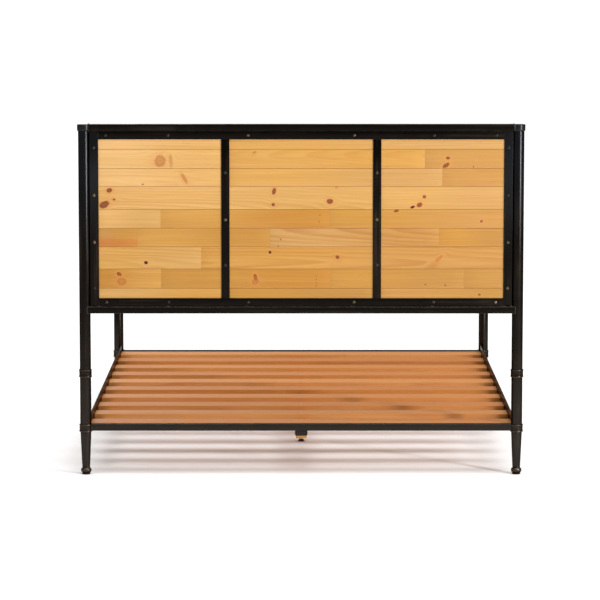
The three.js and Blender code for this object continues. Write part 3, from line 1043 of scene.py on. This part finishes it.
def makeLug(end, side, look):
    # the plate cast on a deck collar, which the side rail bolts to: a rectangle (x, z) carried along y
    railFace, tip, inward, bottom = lugPlace(end, side)
    plane = headPlane if end == "head" else footPlane
    sign = 1.0 if side == "right" else -1.0
    face = railFace + sign * look["gap"] * mm
    left, right = sorted([face, face + sign * look["thick"] * mm])
    corners = rectangle(left, right, bottom, bottom + look["tall"] * mm)
    section, crest = softened(corners, look["edge"] * mm, 4)
    stations = np.linspace(*sorted([plane + inward * look["fromPlane"] * mm, tip]), look["rings"])
    wear, ease = crest * look["wear"], look["ease"] * mm
    placed(carriedPiece(f"{end}_lug_{side}", section, wear, stations, "y", ironAlong, ease))


for side in ("left", "right"):
    makeSideRail(side, angleLook)
for end in ("head", "foot"):
    for side in ("left", "right"):
        makeLug(end, side, lugLook)
print("saddles, channels, straps, side rails and lugs made")

fastenerLook = {"sides": 24, "spin": 0.35, "sharpAngle": 32.0}


def fastenerPiece(name, rows, places, facing, material, look=fastenerLook):
    # one turned form, rows of (radius, height, hexShare), set at many places at once:
    # p = place + r(a) (cos(a + turn) u + sin(a + turn) v) + h facing,
    # and on hexagon rows r(a) = r / cos((a mod 60) - 30), so that r is half the width across flats
    rows = np.asarray(rows, float)
    places = np.asarray(places, float)
    facing = np.asarray(facing, float)
    sides = look["sides"]
    a = np.arange(sides) / sides * 2 * np.pi
    hexagon = 1 / np.cos(np.mod(a, np.pi / 3) - np.pi / 6)
    r = rows[:, 0][:, None] * mm * (1 + rows[:, 2][:, None] * (hexagon - 1)[None])
    guide = np.array([0.0, 1.0, 0.0] if facing[2] else [0.0, 0.0, 1.0])
    u = np.cross(guide, facing)
    v = np.cross(facing, u)
    turn = rng.uniform(0, 2 * np.pi, len(places)) * look["spin"]
    angle = a[None] + turn[:, None]
    ring = np.cos(angle)[..., None] * u + np.sin(angle)[..., None] * v
    rise = rows[:, 1][None, :, None, None] * mm * facing
    grid = places[:, None, None] + r[None, ..., None] * ring[:, None] + rise
    one = gridQuads(len(rows), sides, False, True)
    count = len(rows) * sides
    faces = (one[None] + np.arange(len(places))[:, None, None] * count).reshape(-1, 4).tolist()
    piece = finishMesh(name, grid, faces, material, None, look["sharpAngle"])
    placed(piece)


screwPlan = {
    "rowX": (-710, -483, -193, 193, 483, 710),
    "sideZ": (687, 855, 1027, 1200),
    "strapZ": (772, 938, 1109),
    # radius, height, hex share: a domed head with a hexagon socket
    "head": [
        (0.0, 0.05, 0), (5.3, 0.05, 0), (5.7, 0.35, 0), (5.6, 0.9, 0), (5.1, 1.7, 0), (4.2, 2.45, 0),
        (3.1, 2.95, 0), (2.3, 3.05, 0.6), (2.0, 2.7, 1), (2.0, 1.3, 1), (0.0, 1.1, 0),
    ],
}


def makePanelScrews(plan):
    # rows of heads down the middle of each channel and strap, on the panel's back and front
    topLow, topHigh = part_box("panel_channel_top")
    bottomLow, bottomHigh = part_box("panel_channel_bottom")
    rightLow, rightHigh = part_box("panel_channel_right")
    strapLow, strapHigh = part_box("back_strap_right")
    topZ = (topLow[2] + topHigh[2]) / 2
    bottomZ = (bottomLow[2] + bottomHigh[2]) / 2
    sideX = (rightLow[0] + rightHigh[0]) / 2
    strapX = (strapLow[0] + strapHigh[0]) / 2
    rows = {
        "top": [(x * mm, topZ) for x in plan["rowX"]],
        "bottom": [(x * mm, bottomZ) for x in plan["rowX"]],
    }
    for side, sign in (("left", -1), ("right", 1)):
        rows[side] = [(sign * sideX, z * mm) for z in plan["sideZ"]]
        rows[f"strap_{side}"] = [(sign * strapX, z * mm) for z in plan["strapZ"]]
    for face, y, facing in (("back", topLow[1], (0, -1, 0)), ("front", topHigh[1], (0, 1, 0))):
        for row, spots in rows.items():
            places = [(x, y, z) for x, z in spots]
            fastenerPiece(f"{face}_screws_{row}", plan["head"], places, facing, screwSteel)


makePanelScrews(screwPlan)

boltPlan = {
    "fromTip": (13, 33),  # mm back from the lug's tip
    "up": 11.5,  # mm above the side rail's foot
    # radius, height, hex share: shank end, shank, washer, then a hexagon head with a turned chamfer
    "form": [
        (0.0, -9.6, 0), (3.4, -9.6, 0), (3.9, -9.1, 0), (3.9, 0.05, 0),
        (8.0, 0.05, 0), (8.2, 0.3, 0), (8.2, 1.3, 0), (7.9, 1.6, 0),
        (6.9, 1.62, 0), (7.2, 1.8, 1), (7.5, 2.2, 1), (7.5, 6.0, 1),
        (6.6, 6.9, 0.4), (6.0, 7.0, 0), (0.0, 7.0, 0),
    ],
}


def makeRailBolts(plan):
    # two bolts through each lug, facing outwards
    lugFace = (lugLook["gap"] + lugLook["thick"]) * mm
    for end in ("head", "foot"):
        for side, sign in (("left", -1.0), ("right", 1.0)):
            railFace, tip, inward, bottom = lugPlace(end, side)
            face, z = railFace + sign * lugFace, bottom + plan["up"] * mm
            places = [(face, tip - inward * n * mm, z) for n in plan["fromTip"]]
            fastenerPiece(f"{end}_bolts_{side}", plan["form"], places, (sign, 0, 0), zincPlate)


makeRailBolts(boltPlan)

deckScrews = {
    "endInset": 17,
    "fromMiddle": 24,
    # radius, height, hex share: a countersunk head with a hexagon socket
    "head": [
        (0.0, -0.6, 0), (3.6, -0.6, 0), (4.1, 0.02, 0), (3.4, 0.5, 0),
        (1.9, 0.75, 0.6), (1.7, 0.5, 1), (1.6, -0.3, 1), (0.0, -0.3, 0),
    ],
}


def makeDeckScrews(plan):
    # a pair at each end of a slat and a pair over the centre beam
    for n in range(1, 11):
        low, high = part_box(f"slat_{n:02d}")
        y = (low[1] + high[1]) / 2
        spots = [low[0] + plan["endInset"] * mm, high[0] - plan["endInset"] * mm, 0.0]
        pair = (-plan["fromMiddle"] * mm, plan["fromMiddle"] * mm)
        places = [(x, y + dy, high[2]) for x in spots for dy in pair]
        fastenerPiece(f"slat_{n:02d}_screws", plan["head"], places, (0, 0, 1), zincPlate)


makeDeckScrews(deckScrews)

tackPlan = {
    "x": (-488, -199, 188, 478),
    "half": 7.0,
    "radius": 1.7,
    "upright": {"inset": 3.0, "half": 9.0},
    "post": {"inset": 3.5, "half": 4.0},
    "out": 0.7,
    "up": 0.5,
    "arch": 0.3,
    "bend": 3,
    "rings": 40,
}


def makeTacks(plan):
    # short weld beads where the panel's channels stand on the bottom rail: x = x0 + half t,
    # z = ledge + up + arch cos(bend t)
    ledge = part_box("headboard_bottom_rail")[1][2]
    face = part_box("panel_channel_bottom")[0][1]
    rightLow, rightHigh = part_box("panel_channel_right")
    t = np.linspace(-1.0, 1.0, plan["rings"])
    spots = [(f"tack_{n + 1}", x * mm, plan["half"] * mm) for n, x in enumerate(plan["x"])]
    for side, sign in (("left", -1), ("right", 1)):
        upright, post = plan["upright"], plan["post"]
        uprightX = sign * (rightLow[0] + upright["inset"] * mm)
        postX = sign * (rightHigh[0] - post["inset"] * mm)
        spots.append((f"upright_weld_{side}", uprightX, upright["half"] * mm))
        spots.append((f"post_weld_{side}", postX, post["half"] * mm))
    y = np.full(len(t), face - plan["out"] * mm)
    z = ledge + (plan["up"] + plan["arch"] * np.cos(plan["bend"] * t)) * mm
    for name, x, half in spots:
        path = np.stack([x + t * half, y, z], axis=1)
        placed(beadPiece(name, path, plan["radius"] * mm, weldMetal, False))


makeTacks(tackPlan)
print("screws, bolts and welds made")


pineLook = {
    "tongue": 5.0,
    "tongueThick": 6.0,
    "sidePlay": 0.3,
    "tipPlay": 0.6,
    "edge": 0.9,
    "grooveEdge": 0.3,
    "tipEdge": 0.6,
    "showing": 1.2,  # depth of the edge that shows
    "endGap": 0.02,
    "endEase": 0.5,
    "ringsApart": 40,
    "wander": 0.036,
    "rough": 0.40,
}
grainShift = 40  # each piece's grain starts up to this many metres away

pineTones = {
    "cream": (214, 168, 104),
    "straw": (206, 158, 90),
    "oat": (194, 148, 80),
    "honey": (196, 146, 72),
    "wheat": (186, 140, 78),
    "gold": (190, 138, 62),
    "amber": (178, 128, 62),
    "ochre": (180, 128, 52),
    "caramel": (178, 122, 44),
    "toffee": (170, 122, 54),
}

# the tones darken from the upper rows to the lower ones: partly the boards' own tone, partly painted shade
# for light that falls from above
# rows from the top, boards from the left: end x in mm (None at the far end), tones at the board's
# left and right ends, ring spacing in mm, ring contrast, slope, crown
boardRows = [
    [
        (-270, "cream", "straw", 9, 0.18, 0.010, None),
        (None, "honey", "wheat", 7, 0.26, -0.006, None),
    ],
    [
        (-262, "cream", "straw", 12, 0.16, 0.012, None),
        (449, "honey", "gold", 7, 0.22, 0.006, (1.190, 0.45, 0.02, -0.05)),
        (None, "amber", "amber", 10, 0.18, -0.010, None),
    ],
    [
        (-268, "cream", "straw", 10, 0.30, -0.030, (1.100, -0.75, 0.02, 0.06)),
        (513, "honey", "wheat", 11, 0.16, 0.004, None),
        (None, "amber", "amber", 10, 0.18, 0.012, None),
    ],
    [
        (272, "straw", "oat", 8, 0.36, -0.030, (0.955, -0.70, 0.05, 0.07)),
        (None, "oat", "wheat", 11, 0.28, 0.0, None),
    ],
    [
        (-512, "straw", "oat", 16, 0.12, 0.004, None),
        (104, "gold", "caramel", 9, 0.30, 0.003, None),
        (None, "ochre", "amber", 12, 0.16, -0.004, None),
    ],
    [
        (-597, "amber", "ochre", 13, 0.24, 0.0, None),
        (-114, "gold", "ochre", 10, 0.22, 0.002, None),
        (502, "wheat", "amber", 9, 0.62, 0.0, (0.930, 0.38, 0.06, -0.045)),
        (None, "ochre", "toffee", 8, 0.42, -0.02, None),
    ],
    [
        (-365, "honey", "oat", 12, 0.38, 0.018, (0.770, -0.80, 0.02, 0.05)),
        (None, "gold", "amber", 12.4, 0.55, 0.0, (0.797, 0.276, 0.030, 0.031)),
    ],
    [
        (-511, "caramel", "gold", 9, 0.26, 0.006, None),
        (107, "ochre", "caramel", 8, 0.26, -0.004, None),
        (593, "ochre", "toffee", 14, 0.15, 0.003, None),
        (None, "toffee", "toffee", 11, 0.17, -0.008, None),
    ],
    [
        (-268, "oat", "gold", 8, 0.32, 0.005, None),
        (266, "ochre", "toffee", 9, 0.28, -0.003, None),
        (None, "amber", "toffee", 15, 0.15, 0.004, None),
    ],
]

# x and z in mm, width, height, tilt in degrees, kind
knots = [
    (-698, 1045, 21, 16, 20, "red"), (-717, 993, 38, 24, 28, "red"), (-681, 1012, 9, 7, 0, "red"),
    (-576, 1067, 6, 5, 0, "red"), (-99, 1042, 14, 25, -14, "red"), (-102, 993, 13, 12, 0, "red"),
    (104, 1005, 24, 18, 0, "red"), (128, 1056, 10, 6, 0, "light"), (448, 1022, 13, 12, 0, "red"),
    (430, 992, 22, 16, 30, "red"), (405, 984, 18, 9, 22, "dark"), (533, 1163, 15, 11, 0, "red"),
    (526, 1136, 28, 14, 32, "red"), (626, 1131, 5, 7, 0, "nail"), (-513, 1152, 40, 44, -20, "light"),
    (-474, 1152, 15, 50, 4, "smear"), (-425, 1088, 12, 42, 30, "light"), (-170, 1183, 14, 8, 20, "light"),
    (346, 970, 20, 9, 15, "red"), (656, 932, 10, 9, 0, "red"), (68, 955, 4.5, 4.5, 0, "nail"),
    (65, 930, 4.5, 4.5, 0, "nail"), (-75, 866, 5, 5, 0, "nail"), (-84, 842, 5, 5, 0, "nail"),
    (502, 871, 6, 5, 0, "nail"), (-566, 781, 14, 12, 0, "dark"), (-114, 819, 11, 10, 0, "dark"),
    (132, 801, 15, 12, -20, "red"), (502, 796, 34, 12, 40, "light"), (-664, 739, 19, 13, -25, "red"),
    (-655, 712, 34, 26, 0, "light"), (-167, 726, 13, 28, 12, "red"), (-167, 712, 26, 22, 12, "light"),
    (453, 701, 6, 6, 0, "nail"), (526, 698, 6, 6, 0, "nail"), (650, 664, 11, 8, 0, "red"),
    (55, 732, 4, 4, 0, "nail"), (55, 720, 4, 4, 0, "nail"), (55, 708, 4, 4, 0, "nail"),
    (55, 696, 4, 4, 0, "nail"), (-690, 854, 240, 36, 0, "band"),
]


def boardSection(back, front, bottom, top, tongued, grooved, look):
    # the corners (y, z) of a board with a tongue above and a groove below, and the reach of each one
    middle, half = (back + front) / 2, look["tongueThick"] / 2 * mm
    tongue = look["tongue"] * mm
    room = half + look["sidePlay"] * mm
    roof = bottom + tongue + look["tipPlay"] * mm
    lower = [(back, bottom)]
    reach = [look["edge"]]
    if grooved:
        lower += [(middle - room, bottom), (middle - room, roof)]
        lower += [(middle + room, roof), (middle + room, bottom)]
        reach += [look["grooveEdge"]] * 4
    lower += [(front, bottom), (front, top)]
    reach += [look["edge"]] * 2
    if tongued:
        tip = top + tongue
        lower += [(middle + half, top), (middle + half, tip), (middle - half, tip), (middle - half, top)]
        reach += [look["grooveEdge"], look["tipEdge"], look["tipEdge"], look["grooveEdge"]]
    lower.append((back, top))
    reach.append(look["edge"])
    return lower, np.array(reach) * mm


def makeBoard(name, node, row, ends, spec, look):
    # the section carried along x between the board's ends, and darkened only where an edge shows
    low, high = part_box(node)
    tongued, grooved = row > 0, row < len(boardRows) - 1
    top = high[2] - (look["tongue"] * mm if tongued else 0.0)
    tone, toneRight, ring, contrast, slope, crown = spec
    start = ends[0] + look["endGap"] * mm / 2
    stop = ends[1] - look["endGap"] * mm / 2
    corners, reach = boardSection(low[1], high[1], low[2], top, tongued, grooved, look)
    section, crest = softened(corners, reach, 4)
    depth = np.minimum(section[:, 0] - low[1], high[1] - section[:, 0])
    exposed = depth < look["showing"] * mm
    inside = [k for k in knots if start < k[0] * mm < stop and low[2] < k[1] * mm < top]
    wood = {
        "tone": pineTones[tone],
        "toneAlong": (pineTones[toneRight], start, stop),
        "ring": ring,
        "contrast": contrast,
        "slope": slope,
        "crown": crown,
        "wander": look["wander"],
        "rough": look["rough"],
        "shift": tuple(rng.uniform(-grainShift, grainShift, 3)),
        "knots": inside,
    }
    pine = woodMaterial(f"pine_{name}", wood)
    rings = max(4, int((stop - start) / (look["ringsApart"] * mm)))
    stations = np.linspace(start, stop, rings)
    piece = carriedPiece(name, section, crest * exposed, stations, "x", pine, look["endEase"] * mm)
    placed(piece, "frame", node)


def makeBoards(look):
    # each row's boards run end to end between the sides of its node
    for row, boards in enumerate(boardRows):
        node = f"headboard_board_{row + 1}"
        low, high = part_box(node)
        start = low[0]
        for n, (endX, *spec) in enumerate(boards):
            stop = high[0] if endX is None else endX * mm
            makeBoard(f"board_{row + 1}_{n + 1}", node, row, (start, stop), spec, look)
            start = stop


makeBoards(pineLook)
print("headboard boards made")


deckLook = {
    "tones": [(188, 120, 56), (180, 112, 48), (192, 126, 62), (184, 116, 52)],
    "edge": 2.0,
    "ease": 1.2,
    "contrast": 0.5,
    "wander": 0.03,
    "rough": 0.48,
    "wear": 0.35,
    "rings": 24,
    "ringSpacing": (8, 16),
    "slope": 0.01,
    "knotCounts": (0, 3),
    "knotSpan": 700,  # mm either side of the middle
    "knotInset": 0.02,
    "knotSize": (16, 12),
}


def makeSlat(n, look):
    # a softened rectangle (y, z) carried along x; the wood reads a knot's second place as a height,
    # which is far from the slat's own, so its knots don't show
    node = f"slat_{n:02d}"
    low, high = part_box(node)
    section, crest = softened(rectangle(low[1], high[1], low[2], high[2]), look["edge"] * mm, 5)
    found = []
    for _ in range(int(rng.integers(*look["knotCounts"]))):
        x = float(rng.uniform(-look["knotSpan"], look["knotSpan"]))
        y = float(rng.uniform(low[1] + look["knotInset"], high[1] - look["knotInset"]) / mm)
        found.append((x, y, *look["knotSize"], 0, "red"))
    wood = {
        "tone": look["tones"][n % len(look["tones"])],
        "ring": float(rng.uniform(*look["ringSpacing"])),
        "contrast": look["contrast"],
        "slope": float(rng.uniform(-look["slope"], look["slope"])),
        "wander": look["wander"],
        "rough": look["rough"],
        "shift": tuple(rng.uniform(-grainShift, grainShift, 3)),
        "axes": ("X", "Y"),
        "knots": found,
    }
    timber = woodMaterial(f"deck_{node}", wood)
    stations = np.linspace(low[0], high[0], look["rings"])
    wear, ease = crest * look["wear"], look["ease"] * mm
    piece = carriedPiece(f"{node}_board", section, wear, stations, "x", timber, ease)
    placed(piece, "frame", node)


for n in range(1, 11):
    makeSlat(n, deckLook)


beamWood = {
    "tone": (200, 138, 74),
    "ring": 9.0,
    "contrast": 0.5,
    "slope": 0.004,
    "wander": 0.02,
    "rough": 0.5,
    "shift": (3.0, 8.0, 1.0),
    "axes": ("Y", "Z"),
}


beamLook = {"notchGap": 1.0, "shelfLift": 3.3, "edge": 1.5, "wear": 0.3}


def makeBeam(look):
    # the notched outline (y, z), which rests on a shelf at each end, carried across the beam's width
    low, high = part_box("centre_beam")
    shelfLow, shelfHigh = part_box("headboard_lower_rail")
    notch = shelfHigh[1] + look["notchGap"] * mm
    shelf = shelfLow[2] + look["shelfLift"] * mm
    corners = [
        (low[1], shelf), (notch, shelf), (notch, low[2]), (-notch, low[2]), (-notch, shelf), (high[1], shelf),
        (high[1], high[2]), (low[1], high[2]),
    ]
    edge = look["edge"] * mm
    section, crest = softened(corners, edge, 4)
    timber = woodMaterial("beamTimber", beamWood)
    stations = [low[0], 0.0, high[0]]
    wear = crest * look["wear"]
    piece = carriedPiece("centre_beam_timber", section, wear, stations, "x", timber, edge)
    placed(piece, "frame", "centre_beam")


makeBeam(beamLook)


legWood = {
    "tone": (200, 142, 80),
    "ring": 7.0,
    "contrast": 0.5,
    "slope": 0.01,
    "wander": 0.02,
    "rough": 0.5,
    "shift": (1.0, 5.0, 2.0),
    "axes": ("Z", "X"),
}
legTimber = woodMaterial("legTimber", legWood)
easedLook = {"merge": 0.01, "ease": 0.8, "rounds": 2, "sharperThan": 40.0}


def makeCentreLeg(end, look):
    # a copy of the bored leg with its doubles merged and its sharp edges eased
    node = f"centre_leg_{end}"
    mesh = bpy.data.meshes.new(f"{node}_timber")
    work = bmesh.new()
    work.from_mesh(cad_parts[node].data)
    bmesh.ops.remove_doubles(work, verts=work.verts, dist=look["merge"] * mm)
    work.to_mesh(mesh)
    work.free()
    mesh.materials.clear()
    mesh.materials.append(legTimber)
    leg = bpy.data.objects.new(f"{node}_timber", mesh)
    bpy.context.collection.objects.link(leg)
    bevel = leg.modifiers.new("easedEdges", "BEVEL")
    bevel.width = look["ease"] * mm
    bevel.segments = look["rounds"]
    bevel.limit_method = "ANGLE"
    bevel.angle_limit = math.radians(look["sharperThan"])
    placed(leg, "frame", node)


for end in ("head", "foot"):
    makeCentreLeg(end, easedLook)

padLook = {
    "foot": (1.4, 1.6),  # in and up, at the floor
    "rim": 5.0,
    "dome": 3.2,
    "socket": (4.7, 4.0),  # its radius and the height of its floor
    "reach": (0, 1.0, 1.2, 1.4, 0.8, 0.3, 0.3, 0),
    "sides": 64,
}


def makePad(end, look):
    # a low domed foot with a socket for its stud: (r, z) from axis to axis
    node = f"leveller_pad_{end}"
    low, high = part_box(node)
    r = halfWidth(node)
    footIn, footUp = (value * mm for value in look["foot"])
    socketR, socketUp = (value * mm for value in look["socket"])
    corners = [
        (0.0, low[2]),
        (r - footIn, low[2]),
        (r, low[2] + footUp),
        (r, low[2] + look["rim"] * mm),
        (r - look["dome"] * mm, high[2]),
        (socketR, high[2]),
        (socketR, low[2] + socketUp),
        (0.0, low[2] + socketUp),
    ]
    profile, crest = softened(corners, np.array(look["reach"]) * mm, 5, closed=False)
    middle, sides = nodeMiddle(node), look["sides"]
    piece = turnedPiece(f"{node}_moulding", profile, crest * 0.0, middle, padNylon, sides=sides)
    placed(piece, f"{end}_pad", node)


studLook = {
    "pitch": 1.25,
    "threadDepth": 0.62,
    "radius": 4.0,
    "sides": 24,
    "stepsPerTurn": 8,
    "sharpAngle": 35.0,
    # radius, height above the stud's foot
    "foot": [(0.0, 0.0), (3.1, 0.0), (3.7, 0.6)],
    "hexLow": 8.6,  # above the floor
    # radius, height above the hexagon's foot, hex share
    "hexagon": [
        (3.7, -0.02, 0), (6.2, 0.0, 0), (7.0, 0.35, 0.7), (7.5, 0.8, 1),
        (7.5, 3.2, 1), (7.0, 3.65, 0.7), (6.2, 4.0, 0), (3.6, 4.02, 0),
    ],
    "threadFrom": 4.4,  # above the hexagon's foot
    # radius, depth below the stud's top
    "tip": [(2.9, 0.4), (2.4, 0.0), (0.0, 0.0)],
    "threadTo": 1.2,
}


def makeStud(end, look):
    # a hexagon on a shank, and above it a thread: r(a, z) = r0 - depth |2 frac(z / pitch - a / 2 pi) - 1|
    node = f"leveller_stud_{end}"
    low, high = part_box(node)
    hexLow, pitch = look["hexLow"] * mm, look["pitch"] * mm
    shank = [(r, low[2] + up * mm, 0) for r, up in look["foot"]]
    shank = np.array(shank + [(r, hexLow + up * mm, share) for r, up, share in look["hexagon"]])
    threadLow, threadHigh = hexLow + look["threadFrom"] * mm, high[2] - look["threadTo"] * mm
    z = np.arange(threadLow, threadHigh, pitch / look["stepsPerTurn"])
    sides = look["sides"]
    a = np.arange(sides) / sides * 2 * np.pi
    hexagon = np.cos(np.pi / 6) / np.cos(np.mod(a, np.pi / 3) - np.pi / 6)
    lowerR = shank[:, 0][:, None] * mm * (1 + shank[:, 2][:, None] * (hexagon - 1)[None])
    phase = np.mod(z[:, None] / pitch - a[None] / (2 * np.pi), 1.0)
    threadR = (look["radius"] - look["threadDepth"] * np.abs(2 * phase - 1)) * mm
    tip = np.array(look["tip"]) * mm
    tipR = np.repeat(tip[:, :1], sides, axis=1)
    r = np.vstack([lowerR, threadR, tipR])
    heights = np.concatenate([shank[:, 1], z, high[2] - tip[:, 1]])
    cx, cy = nodeMiddle(node)
    up = np.repeat(heights[:, None], sides, axis=1)
    grid = np.stack([cx + r * np.cos(a), cy + r * np.sin(a), up], axis=-1)
    faces = gridQuads(len(heights), sides, False, True).tolist()
    piece = finishMesh(f"{node}_thread", grid, faces, zincPlate, None, look["sharpAngle"])
    placed(piece, f"{end}_stud", node)


for end in ("head", "foot"):
    makePad(end, padLook)
    makeStud(end, studLook)
print("deck, beam, legs and levellers made")
